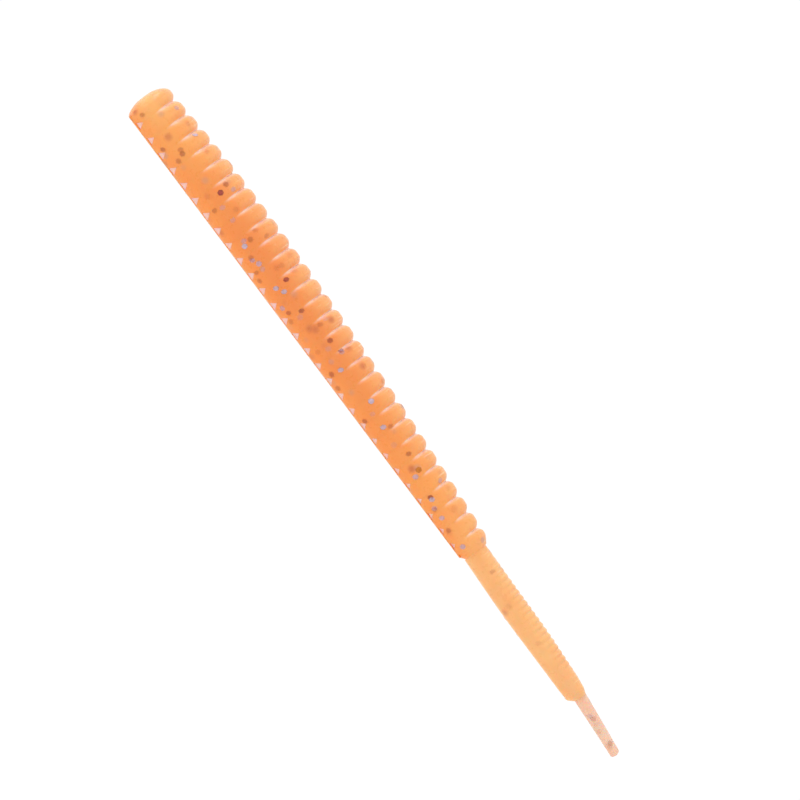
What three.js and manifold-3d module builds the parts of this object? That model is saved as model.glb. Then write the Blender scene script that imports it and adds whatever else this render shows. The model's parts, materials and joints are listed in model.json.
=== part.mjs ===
// A soft plastic fishing worm: one flexible moulding with a ribbed body, a fine-ringed stem and a
// thin tail tip, lying on its flat belly along X with its head at -X. Millimetres, +Z up, origin
// under the middle of the worm. The moulding is divided where it flexes: each rib, each run of
// stem rings and each half of the tip is a link, and the links stand a small bend gap apart.
import * as THREE from "three";
import { mergeVertices } from "three/addons/utils/BufferGeometryUtils.js";
import Module from "manifold-3d";

const wasm = await Module();
wasm.setup();

// Driving dimensions: lengths along the worm
const BODY_LENGTH = 35.3;
const STEM_LENGTH = 11.25;
const TIP_LENGTH = 4.25;
const HEAD_RIB_LENGTH = 1.3; // the first rib is longer, for the domed nose
const STEM_END_LENGTH = 1.2; // the smooth block that ends the stem

// Ribbed body
const RIB_COUNT = 30;
const HEAD_HEIGHT = 3.0;
const FULLEST_HEIGHT = 3.42;
const REAR_HEIGHT = 2.16;
const FULLEST_SHARE = 0.27; // how far down the body it is fullest
const BODY_ROUNDNESS = 1.04; // width over height of a rib
const GROOVE_WIDTH = 0.66; // across the mouth of the V between two ribs
const GROOVE_DEPTH = 0.3; // at the back and the sides
const HEAD_UNDER_GROOVE = 0.5; // the groove is deeper on the underside
const REAR_UNDER_GROOVE = 0.3;
const DOME_DEPTH = 0.5; // how far the nose bulges
const NOSE_FLAT = 1.0; // across the flat that a jig head's collar seats on

// Flat belly strip that joins the ribs along the underside
const BELLY_WIDTH = 1.6;
const HEAD_BELLY_THICKNESS = 0.18;
const REAR_BELLY_THICKNESS = 0.1;
const BELLY_REAR_NARROWING = 0.5; // how much narrower the strip is at the rear rib

// Ringed stem
const STEM_LINKS = 8;
const RINGS_PER_LINK = 3;
const STEM_START_HEIGHT = 1.62;
const STEM_FULL_HEIGHT = 1.74;
const STEM_END_HEIGHT = 1.3;
const STEM_FULL_SHARE = 0.4;
const STEM_START_RISE = 0.2; // the stem leaves the body this far above the belly
const RING_DEPTH = 0.06;
const RING_CREST_SHARE = 0.6; // each ring rises slowly and drops quickly, like a saw tooth
const STEM_END_ROUNDING = 0.35;

// Tail tip: a thin upright blade that droops a little
const TIP_START_HEIGHT = 0.85;
const TIP_END_HEIGHT = 0.63;
const TIP_THICKNESS = 0.5;
const TIP_START_CENTRE = 0.84; // height of its middle line above the belly plane
const TIP_END_CENTRE = 0.43;
const TIP_ROUNDING = 0.3;
const TIP_LINKS = 2;

// Bending: how far each joint turns either way, and what the bend gaps leave spare
const BODY_BEND = 6;
const STEM_BEND = 14;
const TIP_BEND = 20;
const LINK_CLEARANCE = 0.03;

const SIDES = 16; // points round every cross ring, with one at the top and one at each side

const bodyPitch = (BODY_LENGTH - HEAD_RIB_LENGTH) / (RIB_COUNT - 1);
const stemPitch = (STEM_LENGTH - STEM_END_LENGTH) / STEM_LINKS;
const tipPitch = TIP_LENGTH / TIP_LINKS;
const totalLength = BODY_LENGTH + STEM_LENGTH + TIP_LENGTH;

const lerp = THREE.MathUtils.lerp;

/** The room two link faces of this size need to turn through their bend without touching. */
function bendGap(faceSize, degrees) {
  return faceSize * Math.tan(THREE.MathUtils.degToRad(degrees) / 2) + LINK_CLEARANCE;
}

const stemHalfGap = bendGap(STEM_FULL_HEIGHT, STEM_BEND) / 2;
const tipHalfGap = bendGap(TIP_START_HEIGHT, TIP_BEND) / 2;

/** Height of the body from belly to rib crown, at a distance from the nose. */
function bodyHeight(distance) {
  const share = distance / BODY_LENGTH;
  if (share < FULLEST_SHARE) {
    const toHead = (FULLEST_SHARE - share) / FULLEST_SHARE;
    return FULLEST_HEIGHT - (FULLEST_HEIGHT - HEAD_HEIGHT) * toHead ** 2;
  }
  const toRear = (share - FULLEST_SHARE) / (1 - FULLEST_SHARE);
  return FULLEST_HEIGHT - (FULLEST_HEIGHT - REAR_HEIGHT) * toRear ** 1.65;
}

/** Half of the bend gap between two ribs, at a distance from the nose. */
function bodyHalfGap(distance) {
  return bendGap(bodyHeight(distance) * BODY_ROUNDNESS, BODY_BEND) / 2;
}

/** Height of the stem at its ring crests, at a distance from the body. */
function stemHeight(distance) {
  const share = distance / STEM_LENGTH;
  if (share < STEM_FULL_SHARE) {
    return lerp(STEM_START_HEIGHT, STEM_FULL_HEIGHT, share / STEM_FULL_SHARE);
  }
  const toEnd = (share - STEM_FULL_SHARE) / (1 - STEM_FULL_SHARE);
  return STEM_FULL_HEIGHT - (STEM_FULL_HEIGHT - STEM_END_HEIGHT) * toEnd ** 2;
}

/** How far the stem's underside stands above the belly plane. */
function stemRise(distance) {
  return STEM_START_RISE * Math.max(0, 1 - distance / (STEM_LENGTH * STEM_FULL_SHARE));
}

/** An oval ring of points across the worm at x, cut flat where it would pass below the belly. */
function crossRing({ x, low, high, width }) {
  const middle = (low + high) / 2;
  const points = [];
  for (let side = 0; side < SIDES; side += 1) {
    const angle = (2 * Math.PI * side) / SIDES;
    const z = middle + ((high - low) / 2) * Math.sin(angle);
    points.push([x, (width / 2) * Math.cos(angle), Math.max(z, 0)]);
  }
  return points;
}

/** Steps round an end of this radius: how far forward each is, and how far in from the sides. */
function roundedEnd(radius) {
  const steps = 3;
  const lastAngle = THREE.MathUtils.degToRad(75); // the end keeps a small flat
  return Array.from({ length: steps + 1 }, (_, step) => {
    const angle = (step / steps) * lastAngle;
    return {
      forward: (radius * Math.sin(angle)) / Math.sin(lastAngle),
      inset: radius * (1 - Math.cos(angle)),
    };
  });
}

/** A closed solid skinned over rings of points, each end closed by a fan of triangles. */
function skinned(stations) {
  const rings = stations.map(crossRing);
  const ends = [rings[0], rings[rings.length - 1]];
  const centres = ends.map((ring) =>
    [0, 1, 2].map((axis) => ring.reduce((sum, point) => sum + point[axis], 0) / SIDES),
  );
  const geometry = new THREE.BufferGeometry();
  const index = [];
  const firstCentre = rings.length * SIDES;
  const lastRing = (rings.length - 1) * SIDES;
  for (let side = 0; side < SIDES; side += 1) {
    const next = (side + 1) % SIDES;
    for (let ring = 0; ring < rings.length - 1; ring += 1) {
      const near = ring * SIDES;
      const far = near + SIDES;
      index.push(near + side, near + next, far + next, near + side, far + next, far + side);
    }
    index.push(firstCentre, next, side);
    index.push(firstCentre + 1, lastRing + side, lastRing + next);
  }
  const points = [...rings, centres].flat(2);
  geometry.setAttribute("position", new THREE.Float32BufferAttribute(points, 3));
  geometry.setIndex(index);
  return geometry;
}

/** The same geometry as a manifold-3d solid, for joining. */
function toSolid(geometry) {
  const bare = geometry.clone();
  bare.deleteAttribute("normal");
  bare.deleteAttribute("uv");
  const merged = mergeVertices(bare);
  return new wasm.Manifold(
    new wasm.Mesh({
      numProp: 3,
      vertProperties: merged.attributes.position.array,
      triVerts: Uint32Array.from(merged.index.array),
    }),
  );
}

/** A manifold-3d solid back as three.js geometry. */
function toGeometry(solid) {
  const mesh = solid.getMesh();
  const geometry = new THREE.BufferGeometry();
  geometry.setAttribute("position", new THREE.Float32BufferAttribute(mesh.vertProperties, 3));
  geometry.setIndex(Array.from(mesh.triVerts));
  return geometry;
}

/** Clear soft plastic, yellower at the head and paler towards the tail. */
function plastic(distance) {
  const stops = [
    [0, "#ffbe6e"],
    [BODY_LENGTH * 0.25, "#fb9650"],
    [BODY_LENGTH * 0.8, "#fba05a"],
    [BODY_LENGTH + STEM_LENGTH / 2, "#fdb873"],
    [totalLength, "#f3c8aa"],
  ];
  const after = Math.max(1, stops.findIndex(([place]) => place >= distance));
  const [from, fromColour] = stops[after - 1];
  const [to, toColour] = stops[after];
  const share = THREE.MathUtils.clamp((distance - from) / (to - from), 0, 1);
  const color = new THREE.Color(fromColour).lerp(new THREE.Color(toColour), share);
  return new THREE.MeshStandardMaterial({ color, roughness: 0.28, metalness: 0 });
}

/** A cross station of the body: opening is 0 at the foot of a groove and 1 on a rib's crown. */
function bodyStation(distance, start, opening) {
  const height = bodyHeight(distance);
  const along = distance / BODY_LENGTH;
  const width = height * BODY_ROUNDNESS;
  const underGroove = lerp(HEAD_UNDER_GROOVE, REAR_UNDER_GROOVE, along);
  const crownLow = height - width; // the oval of the crown reaches a little below the flat belly
  return {
    x: distance - start,
    low: lerp(underGroove, crownLow, opening),
    high: height - GROOVE_DEPTH * (1 - opening),
    width: width - 2 * GROOVE_DEPTH * (1 - opening),
  };
}

/** The belly strip under one rib, from its front face to its rear face. */
function bellyStrip(start, front, rear) {
  const along = (start + rear / 2) / BODY_LENGTH;
  const thickness = lerp(HEAD_BELLY_THICKNESS, REAR_BELLY_THICKNESS, along);
  const width = BELLY_WIDTH - BELLY_REAR_NARROWING * along;
  const strip = new THREE.BoxGeometry(rear - front, width, thickness);
  strip.translate((front + rear) / 2, 0, thickness / 2);
  return strip;
}

/** The domed nose, from its flat back to full height at the end of the dome. */
function noseStations() {
  const full = bodyStation(DOME_DEPTH, 0, 1);
  const middle = (Math.max(full.low, 0) + full.high) / 2;
  const size = full.high - Math.max(full.low, 0);
  const startAngle = Math.asin(NOSE_FLAT / size);
  const steps = 4;
  const stations = [];
  for (let step = 0; step < steps; step += 1) {
    const angle = lerp(startAngle, Math.PI / 2, step / steps);
    const share = Math.sin(angle);
    stations.push({
      x: DOME_DEPTH * (1 - Math.cos(angle) / Math.cos(startAngle)),
      low: middle - (size / 2) * share,
      high: middle + (size / 2) * share,
      width: full.width * share,
    });
  }
  return [...stations, full];
}

/** One rib of the body with its length of belly strip. */
function rib(number) {
  const isHead = number === 1;
  const start = isHead ? 0 : HEAD_RIB_LENGTH + (number - 2) * bodyPitch;
  const length = isHead ? HEAD_RIB_LENGTH : bodyPitch;
  const halfGroove = GROOVE_WIDTH / 2;
  const frontHalfGap = bodyHalfGap(start);
  const rearHalfGap = number === RIB_COUNT ? stemHalfGap : bodyHalfGap(start + length);
  const stations = isHead
    ? noseStations()
    : [
        bodyStation(start + frontHalfGap, start, frontHalfGap / halfGroove),
        bodyStation(start + halfGroove, start, 1),
      ];
  stations.push(bodyStation(start + length - halfGroove, start, 1));
  stations.push(bodyStation(start + length - rearHalfGap, start, rearHalfGap / halfGroove));
  const front = isHead ? DOME_DEPTH : frontHalfGap;
  const strip = toSolid(bellyStrip(start, front, length - rearHalfGap));
  const geometry = toGeometry(toSolid(skinned(stations)).add(strip));
  const mesh = new THREE.Mesh(geometry, plastic(start + length / 2));
  mesh.name = `rib_${String(number).padStart(2, "0")}`;
  mesh.position.x = start;
  return mesh;
}

/** A cross station of the stem: crest is 1 on a ring's crest and 0 in the line between rings. */
function stemStation(distance, start, crest) {
  const height = stemHeight(distance);
  const rise = stemRise(distance);
  const cut = RING_DEPTH * (1 - crest);
  return {
    x: distance - start,
    low: rise + cut,
    high: rise + height - cut,
    width: height - 2 * cut,
  };
}

/** One link of the stem: a run of fine rings. */
function stemLink(number) {
  const start = (number - 1) * stemPitch;
  const from = start + stemHalfGap;
  const ring = (stemPitch - 2 * stemHalfGap) / RINGS_PER_LINK;
  const stations = [stemStation(from, start, 0)];
  for (let count = 0; count < RINGS_PER_LINK; count += 1) {
    const valley = from + count * ring;
    stations.push(stemStation(valley + ring * RING_CREST_SHARE, start, 1));
    stations.push(stemStation(valley + ring, start, 0));
  }
  const mesh = new THREE.Mesh(skinned(stations), plastic(BODY_LENGTH + start));
  mesh.name = `stem_${String(number).padStart(2, "0")}`;
  mesh.position.x = start;
  return mesh;
}

/** The smooth block that ends the stem, rounded towards the tip. */
function stemEnd() {
  const start = STEM_LENGTH - STEM_END_LENGTH;
  const roundedFrom = STEM_LENGTH - tipHalfGap - STEM_END_ROUNDING;
  const full = stemStation(roundedFrom, start, 1);
  const stations = [stemStation(start + stemHalfGap, start, 1)];
  for (const { forward, inset } of roundedEnd(STEM_END_ROUNDING)) {
    stations.push({
      x: full.x + forward,
      low: full.low + inset,
      high: full.high - inset,
      width: full.width - 2 * inset,
    });
  }
  const mesh = new THREE.Mesh(skinned(stations), plastic(BODY_LENGTH + start));
  mesh.name = "stem_end";
  mesh.position.x = start;
  return mesh;
}

/** A cross station of the tip; shrink pulls it in from all sides. */
function tipStation(distance, start, shrink) {
  const along = distance / TIP_LENGTH;
  const height = lerp(TIP_START_HEIGHT, TIP_END_HEIGHT, along) - 2 * shrink;
  const middle = lerp(TIP_START_CENTRE, TIP_END_CENTRE, along);
  return {
    x: distance - start,
    low: middle - height / 2,
    high: middle + height / 2,
    width: TIP_THICKNESS - 2 * shrink * (TIP_THICKNESS / TIP_END_HEIGHT),
  };
}

/** One half of the tail tip; the last one has a rounded end. */
function tipLink(number) {
  const isLast = number === TIP_LINKS;
  const start = (number - 1) * tipPitch;
  const end = start + tipPitch;
  const stations = [tipStation(start + tipHalfGap, start, 0)];
  if (isLast) {
    for (const { forward, inset } of roundedEnd(TIP_ROUNDING)) {
      stations.push(tipStation(end - TIP_ROUNDING + forward, start, inset));
    }
  } else {
    stations.push(tipStation(end - tipHalfGap, start, 0));
  }
  const mesh = new THREE.Mesh(skinned(stations), plastic(BODY_LENGTH + STEM_LENGTH + start));
  mesh.name = isLast ? "tip_end" : "tip_root";
  mesh.position.x = start;
  return mesh;
}

/** A stretch of the worm: its links in order, in a group that starts at its front end. */
function stretch(start, links) {
  const group = new THREE.Group();
  group.position.x = start;
  group.add(...links);
  return group;
}

const numbered = (count, make) => Array.from({ length: count }, (_, index) => make(index + 1));

const worm = new THREE.Group();
worm.add(stretch(0, numbered(RIB_COUNT, rib)));
worm.add(stretch(BODY_LENGTH, [...numbered(STEM_LINKS, stemLink), stemEnd()]));
worm.add(stretch(BODY_LENGTH + STEM_LENGTH, numbered(TIP_LINKS, tipLink)));
worm.position.x = -totalLength / 2;

export default worm;
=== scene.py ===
import json
import math
import random

import bpy
from mathutils import Matrix, Vector
from mathutils.bvhtree import BVHTree


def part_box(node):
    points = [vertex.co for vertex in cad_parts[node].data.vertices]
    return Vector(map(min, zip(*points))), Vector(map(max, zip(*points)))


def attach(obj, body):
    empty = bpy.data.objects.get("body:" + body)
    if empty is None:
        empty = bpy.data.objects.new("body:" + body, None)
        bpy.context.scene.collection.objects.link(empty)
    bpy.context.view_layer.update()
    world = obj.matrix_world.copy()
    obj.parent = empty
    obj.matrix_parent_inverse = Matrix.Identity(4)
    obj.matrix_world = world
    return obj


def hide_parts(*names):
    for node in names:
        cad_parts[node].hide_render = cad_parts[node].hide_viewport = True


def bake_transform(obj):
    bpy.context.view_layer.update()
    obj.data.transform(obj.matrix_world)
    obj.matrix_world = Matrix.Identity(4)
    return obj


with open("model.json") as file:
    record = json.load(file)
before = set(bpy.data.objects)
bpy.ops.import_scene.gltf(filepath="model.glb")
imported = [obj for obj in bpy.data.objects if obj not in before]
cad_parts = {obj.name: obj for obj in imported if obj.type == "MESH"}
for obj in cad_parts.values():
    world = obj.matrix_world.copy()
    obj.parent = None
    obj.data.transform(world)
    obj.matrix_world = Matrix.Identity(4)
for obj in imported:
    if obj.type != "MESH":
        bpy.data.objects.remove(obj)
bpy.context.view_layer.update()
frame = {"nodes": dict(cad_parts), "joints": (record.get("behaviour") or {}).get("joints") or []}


# ---------------------------------------------------------------------------------------------
# Ribbed body: thirty rounded ribs of clear orange soft plastic, poured as one with the worm. The
# V grooves are deep along the back, fade out down the sides, and open again as small notches,
# filled by webs painted pale as light shining through them, above the thin flat belly strip that
# ties the ribs together underneath.
# ---------------------------------------------------------------------------------------------

MM = 0.001
SLIVER = 0.001 * MM  # too small to see: welds points this close, and keeps sizes off zero


class Value:
    """A number, vector or colour in a node tree; arithmetic on a number adds its Math node."""

    def __init__(self, tree, socket):
        self.tree = tree
        self.socket = socket

    def maths(self, operation, *values):
        sockets = dict(enumerate(values))
        return self.tree.add("ShaderNodeMath", {"operation": operation}, sockets).out()

    def __add__(self, other):
        return self.maths("ADD", self, other)

    def __radd__(self, other):
        return self.maths("ADD", other, self)

    def __sub__(self, other):
        return self.maths("SUBTRACT", self, other)

    def __rsub__(self, other):
        return self.maths("SUBTRACT", other, self)

    def __mul__(self, other):
        return self.maths("MULTIPLY", self, other)

    def __rmul__(self, other):
        return self.maths("MULTIPLY", other, self)

    def __truediv__(self, other):
        return self.maths("DIVIDE", self, other)

    def __pow__(self, other):
        return self.maths("POWER", self, other)

    def at_least(self, other):
        return self.maths("MAXIMUM", self, other)

    def at_most(self, other):
        return self.maths("MINIMUM", self, other)

    def step(self, low, high, smooth=True):
        """0 below low, 1 above high, and a ramp between them."""
        kind = "SMOOTHSTEP" if smooth else "LINEAR"
        sockets = {"Value": self, "From Min": low, "From Max": high}
        return self.tree.add("ShaderNodeMapRange", {"interpolation_type": kind}, sockets).out()


class Node:
    """A node that was added, with its outputs as Values."""

    def __init__(self, tree, node):
        self.tree = tree
        self.node = node

    def out(self, name=0):
        return Value(self.tree, self.node.outputs[name])


class Tree:
    """One node tree, built by add(), with any node's settings set before its sockets."""

    def __init__(self, tree):
        self.tree = tree

    def add(self, kind, settings=None, sockets=None):
        node = self.tree.nodes.new(kind)
        for name, setting in (settings or {}).items():
            if name == "stops":
                self.set_stops(node.color_ramp, setting)
            else:
                setattr(node, name, setting)
        for name, value in (sockets or {}).items():
            self.join(value, node.inputs[name])
        return Node(self, node)

    def join(self, value, socket):
        if isinstance(value, Node):
            value = value.out()
        if isinstance(value, Value):
            self.tree.links.new(value.socket, socket)
        else:
            socket.default_value = value

    @staticmethod
    def set_stops(ramp, stops):
        while len(ramp.elements) < len(stops):
            ramp.elements.new(1.0)
        for element, (place, colour) in zip(ramp.elements, stops):
            element.position = place
            element.color = colour


def colour(hex_code, alpha=1.0):
    """A colour written as on screen, turned into the linear light that shaders use."""
    shares = [int(hex_code[i:i + 2], 16) / 255 for i in (0, 2, 4)]
    linear = [s / 12.92 if s <= 0.04045 else ((s + 0.055) / 1.055) ** 2.4 for s in shares]
    return (*linear, alpha)


class Shape(Tree):
    """A Geometry Nodes tree with named inputs, which makes one plain mesh."""

    def __init__(self, name, inputs):
        super().__init__(bpy.data.node_groups.new(name, "GeometryNodeTree"))
        kinds = {int: "NodeSocketInt", float: "NodeSocketFloat"}
        self.tree.interface.new_socket("Geometry", in_out="INPUT", socket_type="NodeSocketGeometry")
        for label, kind in inputs.items():
            self.tree.interface.new_socket(label, in_out="INPUT", socket_type=kinds[kind])
        self.tree.interface.new_socket(
            "Material", in_out="INPUT", socket_type="NodeSocketMaterial"
        )
        self.tree.interface.new_socket(
            "Geometry", in_out="OUTPUT", socket_type="NodeSocketGeometry"
        )
        self.given = self.add("NodeGroupInput")

    def size(self, label):
        return self.given.out(label)

    def wrapped_grid(self, stations, sides):
        """A grid to wrap into a tube: its geometry, the share along it, the angle round it from
        the underside, and a mask that is 0 on the two end rows, which close on the axis."""
        rows = stations + 2
        sockets = {"Size X": 1.0, "Size Y": 1.0, "Vertices X": rows, "Vertices Y": sides}
        grid = self.add("GeometryNodeMeshGrid", None, sockets)
        place = self.add("GeometryNodeInputPosition")
        split = self.add("ShaderNodeSeparateXYZ", None, {0: place})
        row = (split.out("X") + 0.5) * (stations + 1.0)
        share = ((row - 1.0) / (stations - 1.0)).at_least(0.0).at_most(1.0)
        angle = (0.5 - split.out("Y")) * math.tau
        inside = row.step(0.4, 0.6) * (1.0 - row.step(stations + 0.4, stations + 0.6))
        return grid.out("Mesh"), share, angle, inside

    def placed(self, geometry, x, y, z, **marks):
        """Geometry moved to its place and welded shut. Its marks, and its unbent place in mm, are
        kept on its points for the material to read."""
        for name, mark in marks.items():
            geometry = self.kept(geometry, name, "FLOAT", mark)
        at = self.add("ShaderNodeCombineXYZ", None, {0: x, 1: y, 2: z})
        moved = self.add("GeometryNodeSetPosition", None, {"Geometry": geometry, "Position": at})
        welded = self.add(
            "GeometryNodeMergeByDistance", None, {"Geometry": moved, "Distance": SLIVER}
        )
        here = self.add("GeometryNodeInputPosition")
        in_mm = self.add("ShaderNodeVectorMath", {"operation": "SCALE"}, {0: here, "Scale": 1 / MM})
        return self.kept(welded, "place", "FLOAT_VECTOR", in_mm)

    def kept(self, geometry, name, kind, value):
        return self.add(
            "GeometryNodeStoreNamedAttribute",
            {"data_type": kind, "domain": "POINT"},
            {"Geometry": geometry, "Name": name, "Value": value},
        )

    def end(self, geometry):
        plain = self.add("GeometryNodeRealizeInstances", None, {"Geometry": geometry})
        smooth = self.add("GeometryNodeSetShadeSmooth", None, {"Geometry": plain})
        finished = self.add(
            "GeometryNodeSetMaterial", None, {"Geometry": smooth, "Material": self.size("Material")}
        )
        self.add("NodeGroupOutput", None, {0: finished})

    def make(self, name, sizes, material, crease=math.radians(40)):
        """A plain mesh object from this tree with these sizes."""
        seed = bpy.data.objects.new(name, bpy.data.meshes.new(name))
        bpy.context.scene.collection.objects.link(seed)
        modifier = seed.modifiers.new("shape", "NODES")
        modifier.node_group = self.tree
        for item in self.tree.interface.items_tree:
            if item.in_out == "INPUT" and item.name in sizes:
                modifier[item.identifier] = sizes[item.name]
            if item.in_out == "INPUT" and item.name == "Material":
                modifier[item.identifier] = material
        graph = bpy.context.evaluated_depsgraph_get()
        mesh = bpy.data.meshes.new_from_object(
            seed.evaluated_get(graph), preserve_all_data_layers=True, depsgraph=graph
        )
        bpy.data.objects.remove(seed)
        mesh.name = name
        mesh.set_sharp_from_angle(angle=crease)
        piece = bpy.data.objects.new(name, mesh)
        bpy.context.scene.collection.objects.link(piece)
        return piece


def rib_shape():
    shape = Shape("rib", {
        "Front": float, "Rear": float, "Front Height": float, "Rear Height": float,
        "Front Groove": float, "Front Notch": float, "Rear Notch": float,
        "Rear Groove": float, "Nose": float, "Nose Flat": float,
        "Rear Rounding": float, "Rear Step": float,
        "Back Depth": float, "Side Depth": float, "Groove Reach": float, "Notch Reach": float,
        "Roundness": float, "Strip Front": float, "Strip Rear": float, "Strip Width": float,
        "Strip Thickness": float, "Front Web": float, "Rear Web": float,
        "Stations": int, "Sides": int,
    })
    size = shape.size
    grid, share, angle, inside = shape.wrapped_grid(size("Stations"), size("Sides"))
    crowded = share ** (1.0 + size("Nose") / (0.5 * MM))  # more stations where a nose is domed
    x = size("Front") + (size("Rear") - size("Front")) * crowded
    height = size("Front Height") + (size("Rear Height") - size("Front Height")) * crowded
    from_front = x - size("Front") + SLIVER
    from_rear = size("Rear") - x + SLIVER
    up = 0.0 - angle.maths("COSINE", angle)

    # the two grooves that bound the rib, with flanks that bulge like a scallop
    near_front = (1.0 - from_front / size("Groove Reach")).at_least(0.0) * size("Front Groove")
    near_rear = (1.0 - from_rear / size("Groove Reach")).at_least(0.0) * size("Rear Groove")
    side_to_back = size("Back Depth") - size("Side Depth")
    depth = size("Side Depth") + side_to_back * up.step(-0.05, 0.75)
    cut = depth * (near_front ** 1.8 + near_rear ** 1.8)

    # the domed nose and the rounded rear of the last rib
    nose = (from_front / size("Nose").at_least(SLIVER)).at_most(1.0)
    flat = size("Nose Flat") / height
    away = (1.0 - nose) * (1.0 - nose) * (1.0 - flat * flat)
    swell = (1.0 - away).maths("SQRT", 1.0 - away)
    rounding = size("Rear Rounding").at_least(SLIVER)
    drawn_in = size("Rear Step") * (1.0 - from_rear / rounding).at_least(0.0) ** 1.3

    radius = (size("Roundness") * height / 2.0 - cut - drawn_in) * swell * inside
    middle = height * (1.0 - size("Roundness") / 2.0)
    middle = middle + (height / 2.0 - middle) * (1.0 - swell)
    y = radius * angle.maths("SINE", angle)
    z = middle + radius * up

    # the underside: flat, with a notch at each groove and a slightly soft edge
    lift, softness = 0.02 * MM, 0.04 * MM
    front_notch = size("Front Notch") * (1.0 - from_front / size("Notch Reach"))
    rear_notch = size("Rear Notch") * (1.0 - from_rear / size("Notch Reach"))
    under = front_notch.at_least(rear_notch).at_least(lift)
    z = z.maths("SMOOTH_MAX", z, under, softness)
    # the nearness to each groove is kept as the masks for the painted highlight and painted shade on
    # its flanks
    rib = shape.placed(grid, x, y, z, up=up, lit_flank=near_front, shaded_flank=near_rear)

    # its length of belly strip, a flat bar with rounded edges
    bar, along, turn, within = shape.wrapped_grid(stations=12, sides=33)
    bar_x = size("Strip Front") + (size("Strip Rear") - size("Strip Front")) * along
    across = turn.maths("SINE", turn)
    upright = turn.maths("COSINE", turn)
    edge = 0.45
    spread = across.maths("SIGN", across) * across.maths("ABSOLUTE", across) ** edge
    raised = upright.maths("SIGN", upright) * upright.maths("ABSOLUTE", upright) ** edge
    bar_y = size("Strip Width") / 2.0 * spread * within
    bar_z = size("Strip Thickness") / 2.0 * (1.0 - raised * within)
    strip = shape.placed(bar, bar_x, bar_y, bar_z, up=-1.0)
    joined = shape.add("GeometryNodeJoinGeometry", None, {"Geometry": strip})
    shape.join(rib, joined.node.inputs["Geometry"])

    # the webs that close its notches, painted pale as light shining through them, set a little
    # back from the rounded sides
    set_back = 0.1 * MM
    for end, inwards in (("Front", 1.0), ("Rear", -1.0)):
        block = shape.add("GeometryNodeMeshCube", None, {"Size": (1.0, 1.0, 1.0)})
        block_place = shape.add("GeometryNodeInputPosition")
        corner = shape.add("ShaderNodeSeparateXYZ", None, {0: block_place})
        reach = (corner.out("X") + 0.5 * inwards) * size("Notch Reach")
        web_z = size("Strip Thickness") / 2.0 + (corner.out("Z") + 0.5) * size(f"{end} Web")
        round_radius = size("Roundness") * size(f"{end} Height") / 2.0
        below = size(f"{end} Height") - round_radius - web_z
        half_width = round_radius * round_radius - below * below
        half_width = half_width.maths("SQRT", half_width) - set_back
        plate = shape.placed(
            block, size(end) + reach, 2.0 * corner.out("Y") * half_width, web_z, up=-0.5, web=1.0
        )
        only_at_a_notch = {"Switch": size(f"{end} Web"), "True": plate}
        web = shape.add("GeometryNodeSwitch", {"input_type": "GEOMETRY"}, only_at_a_notch)
        shape.join(web, joined.node.inputs["Geometry"])
    shape.end(joined)
    return shape


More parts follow.
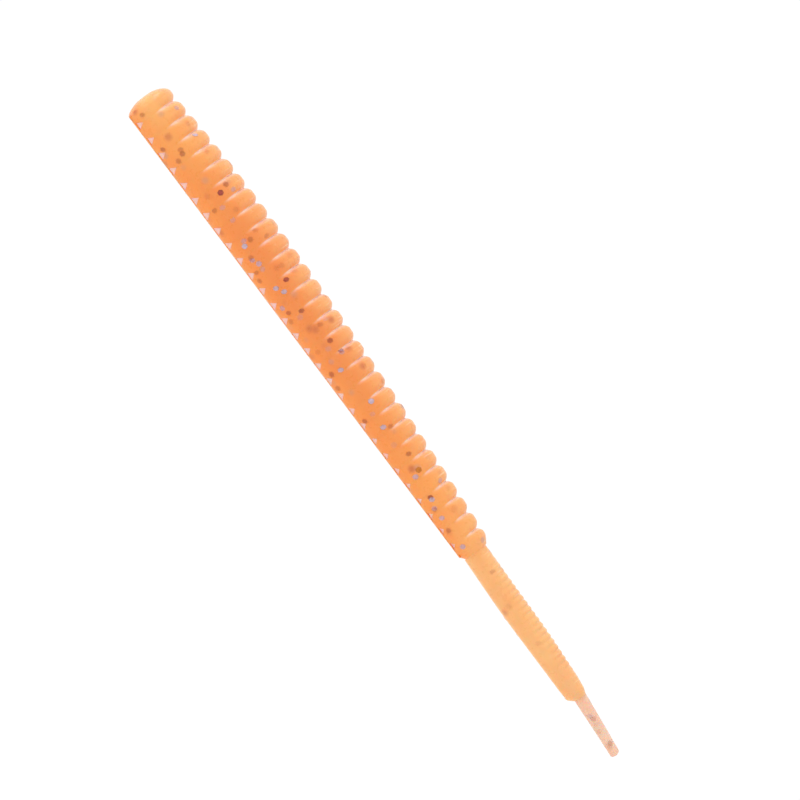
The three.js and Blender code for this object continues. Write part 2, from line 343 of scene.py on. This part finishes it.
def soft_plastic(name, tints, back, belly, cloudy):
    """Clear glossy soft plastic: tints is its colour at places along the worm in mm, back is its
    colour above, painted paler as light that gathers in the back, belly its deeper colour below,
    and cloudy is the share of places where a deep flake blurs through."""
    clouding, flow_line_glint = colour("f07c38"), colour("ffd9b0")
    lit_side, shaded_side = colour("ffd0c0"), colour("fd9830")
    groove_bottom_light, backlit_web = colour("ffe4d8"), colour("ffc6bc")
    material = bpy.data.materials.new(name)
    material.use_nodes = True
    material.node_tree.nodes.clear()
    shade = Tree(material.node_tree)
    place = shade.add("ShaderNodeAttribute", {"attribute_name": "place"}).out("Vector")
    up = shade.add("ShaderNodeAttribute", {"attribute_name": "up"}).out("Fac")
    lit = shade.add("ShaderNodeAttribute", {"attribute_name": "lit_flank"}).out("Fac")
    shaded = shade.add("ShaderNodeAttribute", {"attribute_name": "shaded_flank"}).out("Fac")
    web = shade.add("ShaderNodeAttribute", {"attribute_name": "web"}).out("Fac")
    split = shade.add("ShaderNodeSeparateXYZ", None, {0: place})

    def mixed(share, below, above):
        sockets = {"Factor": share, 6: below, 7: above}
        return shade.add("ShaderNodeMix", {"data_type": "RGBA"}, sockets).out(2)

    first, last = tints[0][0], tints[-1][0]
    stops = [((at - first) / (last - first), colour(tint)) for at, tint in tints]
    along = split.out("X").step(first, last, smooth=False)
    base = shade.add("ShaderNodeValToRGB", {"stops": stops}, {0: along}).out("Color")

    # painted light: the back is painted paler as light that gathers in it, and the belly has a
    # deeper colour
    base = mixed(up.step(0.0, 0.9) * 0.85, base, colour(back))
    base = mixed((1.0 - up.step(-0.95, -0.1)) * 0.85, base, colour(belly))

    # slow clouding inside the plastic
    cloud = shade.add("ShaderNodeTexNoise", None, {"Vector": place, "Scale": 0.45, "Detail": 2.0})
    base = mixed(cloud.out("Fac").step(0.35, 0.75) * 0.2, base, clouding)

    # flakes too deep to see sharply: soft brown and grey spots
    for seed, tone, reach in ((0.0, "c06038", 0.34), (40.0, "cc9478", 0.3)):
        shifted = shade.add(
            "ShaderNodeVectorMath", {"operation": "ADD"}, {0: place, 1: (seed, seed, seed)}
        )
        cell = shade.add("ShaderNodeTexVoronoi", None, {"Vector": shifted, "Scale": 0.85})
        pick = shade.add("ShaderNodeSeparateColor", None, {0: cell.out("Color")})
        chosen = pick.out("Red").step(1.0 - cloudy, 1.02 - cloudy, smooth=False)
        soft = 1.0 - cell.out("Distance").step(0.05, reach)
        strength = 0.25 + 0.5 * pick.out("Green")
        base = mixed(soft * chosen * strength, base, colour(tone))

    # flow lines on the ribs with a painted glint, painted highlight and painted shade on the two
    # sides of each groove, painted light in its bottom, and webs painted pale as light shining
    # through them
    streak_place = shade.add(
        "ShaderNodeVectorMath", {"operation": "MULTIPLY"}, {0: place, 1: (9.0, 0.7, 0.7)}
    )
    streak = shade.add("ShaderNodeTexNoise", None, {"Vector": streak_place, "Scale": 1.0})
    # mould flow lines on the back of the ribs, painted pale as a highlight on them
    glinting_streaks = streak.out("Fac").step(0.58, 0.75) * up.step(0.3, 0.8) * 0.5
    base = mixed(glinting_streaks, base, flow_line_glint)
    # painted highlight on the head-facing flank of each groove, from the back down to the middle of
    # the side
    base = mixed(lit.step(0.5, 0.85) * up.step(-0.15, 0.5) * 0.65, base, lit_side)
    # painted shade on the tail-facing flank of each groove
    base = mixed(shaded.step(0.5, 1.0) * up.step(-0.5, 0.3) * 0.3, base, shaded_side)
    # painted light in the bottom of each groove along the back, lifting the shade in the crease
    valley_light = lit.at_least(shaded).step(0.8, 1.0) * up.step(0.0, 0.5) * 0.7
    base = mixed(valley_light, base, groove_bottom_light)
    # the notch webs, painted pale as light shining through them
    base = mixed(web, base, backlit_web)

    grain = shade.add("ShaderNodeTexNoise", None, {"Vector": place, "Scale": 3.0, "Detail": 3.0})
    ripple = 0.6 * grain.out("Fac") + 0.4 * streak.out("Fac")
    bump = shade.add(
        "ShaderNodeBump", None, {"Strength": 0.12, "Distance": 0.03 * MM, "Height": ripple}
    )
    surface = shade.add("ShaderNodeBsdfPrincipled", None, {
        "Base Color": base,
        "Roughness": 0.2 + 0.18 * grain.out("Fac"),
        "IOR": 1.48,
        "Normal": bump,
        "Subsurface Weight": 0.4,
        "Subsurface Radius": (1.0, 0.35, 0.12),
        "Subsurface Scale": 0.07 * MM,
    })
    shade.add("ShaderNodeOutputMaterial", None, {"Surface": surface})
    return material


def joint_place(name):
    return next(j["pos_m"] for j in frame["joints"] if j["name"] == name)


def joint_x(name):
    """Where along the worm a joint is."""
    return joint_place(name)[0]


def joint_into(body):
    """The name of the joint that moves a body."""
    return next(j["name"] for j in frame["joints"] if j["child"] == body)


def at_joints(values, first, last):
    """Values of a row of links, worked out at its start, at the joints in it, and at its end."""
    return [first, *((a + b) / 2 for a, b in zip(values, values[1:])), last]


rib_names = sorted(name for name in frame["nodes"] if name.startswith("rib_"))
grooves = [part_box(rib_names[0])[0].x]
grooves += [joint_x(joint_into(name)) for name in [*rib_names[1:], "stem_01"]]
rib_heights = [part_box(name)[1].z for name in rib_names]
nose_height, rear_height = rib_heights[0] - 0.03 * MM, rib_heights[-1] - 0.04 * MM
edge_heights = at_joints(rib_heights, nose_height, rear_height)
middle_x = (grooves[0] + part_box("tip_end")[1].x) / 2
to_tail = grooves[-1] - grooves[0]

body_plastic = soft_plastic(
    "body_plastic",
    ((-25.4, "f6b976"), (-24.2, "f5b366"), (-22.3, "f4a757"), (-18.8, "f09447"),
     (-14.0, "ed8d44"), (-4.7, "ed8d44"), (-0.2, "f09447"), (4.7, "f5a351"), (10.0, "f5ab63")),
    back="f0aa68",
    belly="fe9842",
    cloudy=0.4,
)
ribs = rib_shape()
links = {}
for number, name in enumerate(rib_names):
    along = (grooves[number] - grooves[0]) / to_tail
    is_head = number == 0
    is_rear = number == len(rib_names) - 1
    notch = (0.52 - 0.24 * along) * MM
    piece = ribs.make(f"{name}_skin", {
        "Front": grooves[number],
        "Rear": grooves[number + 1],
        "Front Height": edge_heights[number],
        "Rear Height": edge_heights[number + 1],
        "Front Groove": 0.0 if is_head else 1.0,
        "Rear Groove": 0.0 if is_rear else 1.0,
        "Front Notch": 0.0 if is_head else notch,
        "Rear Notch": notch,
        "Nose": 0.7 * MM if is_head else 0.0,
        "Nose Flat": 1.0 * MM,
        "Rear Rounding": 0.6 * MM if is_rear else 0.0,
        "Rear Step": 0.3 * MM if is_rear else 0.0,
        "Back Depth": 0.31 * MM,
        "Side Depth": 0.025 * MM,
        "Groove Reach": 0.43 * MM,
        "Notch Reach": 0.34 * MM,
        "Roundness": 1.04,
        "Strip Front": grooves[number] + (0.5 * MM if is_head else 0.0),
        "Strip Rear": grooves[number + 1] - (0.3 * MM if is_rear else 0.0),
        "Strip Width": (1.6 - 0.5 * along) * MM,
        "Strip Thickness": (0.18 - 0.08 * along) * MM,
        "Front Web": 0.0 if is_head else notch,
        "Rear Web": 0.0 if is_rear else notch,
        "Stations": 48 if is_head else 36,
        "Sides": 97,
    }, body_plastic)
    if is_head:
        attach(piece, name)
    else:
        hinge = grooves[number]
        rib_names[number - 1]
        hinge + 0.5 * MM
        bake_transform(piece)
    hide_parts(name)
    links[name] = piece


# ---------------------------------------------------------------------------------------------
# Stem: the narrow stretch behind the body, poured with it. About two dozen fine rings run round
# it, each rising slowly and dropping quickly, and it ends in a short smooth rounded block.
# ---------------------------------------------------------------------------------------------

def stem_shape():
    shape = Shape("stem", {
        "Front": float, "Rear": float, "Front Height": float, "Rear Height": float,
        "Front Rise": float, "Rear Rise": float, "Rings": float,
        "Front Ring Depth": float, "Rear Ring Depth": float,
        "End Rounding": float, "Top Step": float, "Bottom Step": float,
        "Stations": int, "Sides": int,
    })
    size = shape.size
    grid, share, angle, inside = shape.wrapped_grid(size("Stations"), size("Sides"))
    x = size("Front") + (size("Rear") - size("Front")) * share
    height = size("Front Height") + (size("Rear Height") - size("Front Height")) * share
    rise = size("Front Rise") + (size("Rear Rise") - size("Front Rise")) * share
    up = 0.0 - angle.maths("COSINE", angle)
    count = share * size("Rings")
    phase = count.maths("FRACT", count)
    crest = 0.62  # how far along a ring its highest line is
    climb = (phase / crest).at_most((1.0 - phase) / (1.0 - crest))
    deepening = size("Rear Ring Depth") - size("Front Ring Depth")
    ring_depth = size("Front Ring Depth") + deepening * share
    cut = ring_depth * (0.1 + 0.9 * up.step(-0.3, 0.95)) * (1.0 - climb) ** 1.4
    rounding = size("End Rounding").at_least(SLIVER)
    past = (1.0 - (size("Rear") - x) / rounding).at_least(0.0).at_most(1.0)
    step = size("Bottom Step") + (size("Top Step") - size("Bottom Step")) * up.step(-0.7, 0.8)
    radius = (height / 2.0 - cut - step * past ** 1.3) * inside
    y = radius * angle.maths("SINE", angle)
    z = rise + height / 2.0 + radius * up
    # the rising side of each ring is kept as the mask for the painted highlight
    rise_side = (1.0 - phase).step(0.6, 1.0) * 0.5
    stem = shape.placed(grid, x, y, z, up=up, lit_flank=rise_side)
    shape.end(stem)
    return shape


stem_plastic = soft_plastic(
    "stem_plastic",
    ((9.0, "f5ab63"), (11.0, "f4b06f"), (15.0, "f5b471"), (19.0, "f4bb7c"), (21.4, "eeb278")),
    back="f2b678",
    belly="fdb874",
    cloudy=0.12,
)
stems = stem_shape()
stem_names = sorted(name for name in frame["nodes"] if name.startswith("stem_0"))
chain = [*stem_names, "stem_end"]
joints_along = [joint_x(joint_into(name)) for name in [*chain, "tip_root"]]
stem_boxes = [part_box(name) for name in chain]
stem_tops = [box[1].z for box in stem_boxes]
stem_lows = [max(box[0].z, 0.0) for box in stem_boxes]
tops = at_joints(stem_tops, stem_tops[0] - 0.01 * MM, stem_tops[-1] - 0.1 * MM)
lows = at_joints(stem_lows, stem_lows[0] + 0.03 * MM, stem_lows[-1] + 0.03 * MM)
ring_depths = [min(0.03 * number, 0.07) * MM for number in range(len(stem_names))] + [0.0, 0.0]
for number, name in enumerate(chain):
    is_end = name == "stem_end"
    before = rib_names[-1] if number == 0 else chain[number - 1]
    piece = stems.make(f"{name}_skin", {
        "Front": joints_along[number],
        "Rear": joints_along[number + 1],
        "Front Height": tops[number] - lows[number],
        "Rear Height": tops[number + 1] - lows[number + 1],
        "Front Rise": lows[number],
        "Rear Rise": lows[number + 1],
        "Rings": 0.5 if is_end else 3.0,
        "Front Ring Depth": ring_depths[number],
        "Rear Ring Depth": ring_depths[number + 1],
        "End Rounding": 0.42 * MM if is_end else 0.0,
        "Top Step": 0.1 * MM if is_end else 0.0,
        "Bottom Step": 0.4 * MM if is_end else 0.0,
        "Stations": 46,
        "Sides": 81,
    }, stem_plastic)
    hinge = joints_along[number]
    hinge + 1.0 * MM
    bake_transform(piece)
    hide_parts(name)
    links[name] = piece


# ---------------------------------------------------------------------------------------------
# Tail tip: a thin pale blade of the same plastic, upright, drooping a little and rounded off at
# its end. It grows out of the rounded end of the stem, and quivers as the worm moves.
# ---------------------------------------------------------------------------------------------

def tip_shape():
    shape = Shape("tip", {
        "Front": float, "Rear": float, "Front Height": float, "Rear Height": float,
        "Front Middle": float, "Rear Middle": float, "Thickness": float,
        "End Rounding": float, "Stations": int, "Sides": int,
    })
    size = shape.size
    grid, share, angle, inside = shape.wrapped_grid(size("Stations"), size("Sides"))
    near_end = 1.0 - (1.0 - share) ** 1.6
    x = size("Front") + (size("Rear") - size("Front")) * near_end
    height = size("Front Height") + (size("Rear Height") - size("Front Height")) * near_end
    middle = size("Front Middle") + (size("Rear Middle") - size("Front Middle")) * near_end
    up = 0.0 - angle.maths("COSINE", angle)
    rounding = size("End Rounding").at_least(SLIVER)
    past = (1.0 - (size("Rear") - x + SLIVER) / rounding).at_least(0.0)
    left = 1.0 - past * past
    kept_size = left.maths("SQRT", left) * inside
    y = size("Thickness") / 2.0 * kept_size * angle.maths("SINE", angle)
    z = middle + height / 2.0 * kept_size * up
    tip = shape.placed(grid, x, y, z, up=up)
    shape.end(tip)
    return shape


tip_plastic = soft_plastic(
    "tip_plastic",
    ((20.5, "f1bd9a"), (21.4, "f1c3a4"), (23.5, "edc4a9"), (25.4, "eeccb2")),
    back="eac4ac",
    belly="f0c4a8",
    cloudy=0.3,
)
tips = tip_shape()
tip_start, tip_joint = joint_x("tip_root_lift"), joint_x("tip_end_swing")
tip_end_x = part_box("tip_end")[1].x
first_middle, joint_middle = joint_place("tip_root_lift")[2], joint_place("tip_end_swing")[2]
last_middle = 2 * joint_middle - first_middle
hidden = 0.3 * MM  # how far the tip reaches into the end of the stem
tip_lines = (  # link, link before it, start, end, heights there, middles there, end rounding
    ("tip_root", "stem_end", tip_start - hidden, tip_joint, 0.87, 0.74, first_middle,
     joint_middle, 0.0),
    ("tip_end", "tip_root", tip_joint, tip_end_x, 0.74, 0.63, joint_middle, last_middle, 0.2),
)
for name, before, front, rear, tall, short, high, low, rounded in tip_lines:
    piece = tips.make(f"{name}_skin", {
        "Front": front,
        "Rear": rear,
        "Front Height": tall * MM,
        "Rear Height": short * MM,
        "Front Middle": high,
        "Rear Middle": low,
        "Thickness": 0.5 * MM,
        "End Rounding": rounded * MM,
        "Stations": 60,
        "Sides": 49,
    }, tip_plastic)
    hinge = joint_x(joint_into(name))
    hinge + 1.4 * MM
    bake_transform(piece)
    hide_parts(name)
    links[name] = piece


# ---------------------------------------------------------------------------------------------
# Glitter: hexagonal metallised film flakes stirred into the plastic before it was poured. They
# lie at all depths, so some show sharp and some are veiled by the plastic over them.
# ---------------------------------------------------------------------------------------------

def flake_finish(name, face, edge, shine):
    """Metallised film under clear plastic; "showing" is how much of it the plastic lets through."""
    material = bpy.data.materials.new(name)
    material.use_nodes = True
    material.node_tree.nodes.clear()
    shade = Tree(material.node_tree)
    showing = shade.add("ShaderNodeAttribute", {"attribute_name": "showing"}).out("Fac")
    where = shade.add("ShaderNodeTexCoord").out("Object")
    fleck = shade.add("ShaderNodeTexNoise", None, {"Vector": where, "Scale": 6000.0})
    tone = shade.add(
        "ShaderNodeMix", {"data_type": "RGBA"},
        {"Factor": fleck.out("Fac").step(0.35, 0.7), 6: colour(face), 7: colour(edge)},
    ).out(2)
    surface = shade.add("ShaderNodeBsdfPrincipled", None, {
        "Base Color": tone,
        "Metallic": shine,
        "Roughness": 0.25 + 0.2 * fleck.out("Fac"),
        "Alpha": showing,
    })
    shade.add("ShaderNodeOutputMaterial", None, {"Surface": surface})
    return material


FINISH = {
    "dark_flake": flake_finish("dark_flake", "8c2c20", "b4503c", 0.0),
    "silver_flake": flake_finish("silver_flake", "d0bccc", "b4a4b8", 0.1),
    "copper_flake": flake_finish("copper_flake", "c06c08", "d47c10", 0.1),
}


REACH = {"rib": 0.5 * MM, "stem": 1.0 * MM, "tip": 1.4 * MM}  # of the bend behind a hinge
order = [*rib_names, *chain, "tip_root", "tip_end"]


def flakes_on(link, kind, flakes):
    """One piece with all the flakes of one kind on a link, placed as the link's skin is.
    Each flake is a thin hexagon lying in the skin, with a narrow rim that fades away."""
    corners, faces, showing = [], [], []
    for centre, normal, turn, narrow, clear in flakes:
        side = normal.cross(Vector((0.3, 0.1, 1.0))).normalized()
        rise = normal.cross(side)
        rim = 0.27 - 0.04 * clear
        core = 0.14 + 0.04 * clear
        first = len(corners)
        # its three rings of corners: height above the skin in mm, radius in mm, how much shows
        for level, radius, shown in ((-0.02, rim, 0), (0.006, rim, 0), (0.01, core, clear)):
            for corner in range(6):
                angle = turn + corner * math.tau / 6
                flat = side * math.cos(angle) * narrow + rise * math.sin(angle)
                corners.append(centre + (flat * radius + normal * level) * MM)
                showing.append(shown ** 1.5)
        faces.append([first + corner for corner in (5, 4, 3, 2, 1, 0)])
        faces.append([first + corner for corner in range(12, 18)])
        for ring in (0, 6):
            for corner in range(6):
                near, far = first + ring + corner, first + ring + (corner + 1) % 6
                faces.append((near, far, far + 6, near + 6))
    mesh = bpy.data.meshes.new(f"{link}_{kind}s")
    mesh.from_pydata(corners, [], faces)
    mesh.attributes.new("showing", "FLOAT", "POINT").data.foreach_set("value", showing)
    mesh.materials.append(FINISH[kind])
    piece = bpy.data.objects.new(mesh.name, mesh)
    bpy.context.scene.collection.objects.link(piece)
    number = order.index(link)
    if number == 0:
        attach(piece, link)
    else:
        hinge = joint_x(joint_into(link))
        bend = REACH[link.split("_")[0]]
        order[number - 1]
        hinge + bend
        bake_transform(piece)


# The flakes that show best on the worm's left side: link counted from the head, share along it,
# height in mm, and how clearly each shows
SEEN = {
    "dark_flake": (
        (7, 0.50, 1.77, 1.0), (13, 0.30, 1.79, 0.8), (17, 0.30, 1.70, 0.6), (4, 0.38, 1.38, 0.4),
        (4, 0.62, 1.32, 0.5), (24, 0.65, 1.38, 0.5), (15, 0.12, 1.38, 0.6), (18, 0.05, 1.86, 0.6),
        (27, 0.20, 0.83, 0.7), (1, 0.70, 0.77, 0.4), (22, 0.90, 1.50, 0.4), (7, 0.30, 2.35, 0.5),
        (4, 0.80, 0.85, 0.4), (3, 0.80, 0.50, 0.5), (8, 0.05, 0.80, 0.4), (8, 0.70, 1.90, 0.25),
        (10, 0.80, 2.45, 0.3), (10, 0.20, 2.10, 0.3), (10, 0.45, 1.50, 0.4), (11, 0.25, 0.85, 0.4),
        (12, 0.50, 1.75, 0.25), (12, 0.55, 2.10, 0.25), (12, 0.05, 0.56, 0.4),
        (12, 0.50, 0.40, 0.4), (14, 0.80, 0.65, 0.5), (15, 0.25, 0.45, 0.35),
        (16, 0.30, 1.80, 0.35), (17, 0.40, 0.65, 0.25), (18, 0.80, 0.50, 0.5),
        (19, 0.60, 0.30, 0.4), (20, 0.70, 2.80, 0.3), (21, 0.85, 0.40, 0.5), (27, 0.85, 0.57, 0.4),
        (29, 0.20, 0.50, 0.4), (32, 0.30, 1.15, 0.3), (34, 0.15, 0.65, 0.2), (36, 0.50, 0.75, 0.2),
        (40, 0.76, 0.68, 0.3), (40, 0.92, 0.62, 0.15), (41, 0.13, 0.46, 0.2), (41, 0.60, 0.60, 0.35),
    ),
    "silver_flake": (
        (4, 0.20, 2.66, 0.9), (10, 0.55, 0.96, 0.9), (10, 0.30, 1.12, 0.5), (11, 0.40, 0.82, 0.6),
        (11, 0.75, 1.02, 0.7), (13, 0.75, 1.23, 0.8), (13, 0.35, 0.95, 0.8), (14, 0.40, 0.52, 0.6),
        (18, 0.90, 1.13, 0.8), (21, 0.20, 1.48, 0.9), (22, 0.70, 1.11, 0.8), (25, 0.85, 0.86, 0.7),
        (26, 0.80, 1.95, 0.5), (27, 0.35, 0.83, 0.8), (27, 0.80, 0.62, 0.5), (28, 0.45, 0.63, 0.7),
        (30, 0.35, 0.60, 0.7), (30, 0.70, 1.85, 0.4), (8, 0.20, 1.30, 0.4), (9, 0.05, 1.35, 0.4),
        (2, 0.45, 2.75, 0.5), (7, 0.75, 2.53, 0.5), (12, 0.10, 1.00, 0.4), (15, 0.35, 1.08, 0.3),
        (16, 0.20, 2.27, 0.3), (17, 0.60, 1.30, 0.3), (18, 0.15, 1.86, 0.5), (18, 0.25, 0.95, 0.3),
        (21, 0.80, 1.07, 0.3), (23, 0.80, 0.98, 0.25), (40, 0.65, 0.58, 0.35),
    ),
    "copper_flake": ((25, 0.65, 1.28, 0.9),),
}
# how many more a rib of full height has on its back, right side and belly, and that height
COMMON = {"dark_flake": 2.4, "silver_flake": 1.6, "copper_flake": 0.3}
full_height = 3.4 * MM
chance = random.Random(7)
for link in order:
    skin = links[link].data
    points = [vertex.co for vertex in skin.vertices]
    surface = BVHTree.FromPolygons(points, [face.vertices for face in skin.polygons])
    low = Vector(map(min, *points))
    high = Vector(map(max, *points))
    axis = Vector((0, 0, (low.z + high.z) / 2))
    thickness = high.z - low.z
    for kind, seen in SEEN.items():
        lines = [
            (Vector((low.x + share * (high.x - low.x), -0.01, height * MM)), (0, 1, 0), clear)
            for number, share, height, clear in seen
            if link == order[number - 1]
        ]
        for _ in range(int(chance.random() + COMMON[kind] * thickness / full_height)):
            around = chance.uniform(-1.7, 1.8)  # the angle up from its right side
            aim = Vector((0, math.cos(around), math.sin(around)))
            start = axis + aim * 0.01
            start.x = low.x + chance.uniform(0.25, 0.9) * (high.x - low.x)
            lines.append((start, -aim, 0.2 + 0.6 * chance.random() ** 2))
        flakes = []
        for start, heading, clear in lines:
            hit, normal, _, _ = surface.ray_cast(start, Vector(heading))
            if hit is not None:
                turn, narrow = chance.uniform(0, 1), chance.uniform(0.75, 1)
                flakes.append((hit, normal, turn, narrow, clear))
        if flakes:
            flakes_on(link, kind, flakes)


# ---------------------------------------------------------------------------------------------
# Stage: a plain pale floor, lower than the worm can bend so that every bend shows whole, a white
# surround, one large soft light over its head end and back, and a long-lens camera on its left.
# ---------------------------------------------------------------------------------------------

def floor_finish():
    material = bpy.data.materials.new("floor")
    material.use_nodes = True
    surface = material.node_tree.nodes["Principled BSDF"]
    surface.inputs["Base Color"].default_value = (0.99, 0.99, 0.99, 1)
    surface.inputs["Roughness"].default_value = 0.9
    surface.inputs["Specular IOR Level"].default_value = 0.0
    return material


floor_half = 2.0
floor_drop = 45 * MM
corners = [(x * floor_half, y * floor_half, -floor_drop)
           for x, y in ((-1, -1), (1, -1), (1, 1), (-1, 1))]
mesh = bpy.data.meshes.new("floor")
mesh.from_pydata(corners, [], [(0, 1, 2, 3)])
mesh.materials.append(floor_finish())
floor = bpy.data.objects.new("floor", mesh)
bpy.context.scene.collection.objects.link(floor)
# the floor is only seen: it throws no light on the worm and keeps none from its belly
floor.visible_diffuse = floor.visible_glossy = floor.visible_transmission = False
floor.visible_shadow = False

world = bpy.data.worlds.new("surround")
world.use_nodes = True
world.node_tree.nodes["Background"].inputs["Color"].default_value = (1, 1, 1, 1)
world.node_tree.nodes["Background"].inputs["Strength"].default_value = 1.03
bpy.context.scene.world = world
bpy.context.scene.view_settings.view_transform = "Standard"

image_right = Vector((0.6, 0, 0.8))  # the worm lies slanting down the picture, head at the top
image_up = Vector((-0.8, 0, 0.6))
towards_camera = image_right.cross(image_up)


def soft_light(name, direction, distance, width, height, energy):
    """A soft box that shines on the worm's middle, width across the worm."""
    data = bpy.data.lights.new(name, "AREA")
    data.shape = "RECTANGLE"
    data.size = width
    data.size_y = height
    data.energy = energy
    light = bpy.data.objects.new(name, data)
    light.location = direction.normalized() * distance
    light.rotation_mode = "QUATERNION"
    light.rotation_quaternion = direction.to_track_quat("Z", "Y")
    bpy.context.scene.collection.objects.link(light)


soft_light("head end light", Vector((-0.85, -0.1, 0.5)), 0.5, 0.5, 0.15, 0.8)

picture_width = 50.16 * MM
aim_right, aim_up = 2.033 * MM, 2.232 * MM
distance = 0.5
sensor = 36.0
camera_data = bpy.data.cameras.new("camera")
camera_data.sensor_width = sensor
camera_data.lens = sensor * distance / picture_width
camera_data.clip_start = 0.01
camera_data.clip_end = 10.0
camera = bpy.data.objects.new("camera", camera_data)
aim_point = Vector((middle_x, 0, 0)) + image_right * aim_right + image_up * aim_up
facing = Matrix((image_right, image_up, towards_camera)).transposed().to_4x4()
camera.matrix_world = Matrix.Translation(aim_point + towards_camera * distance) @ facing
bpy.context.scene.collection.objects.link(camera)
bpy.context.scene.camera = camera
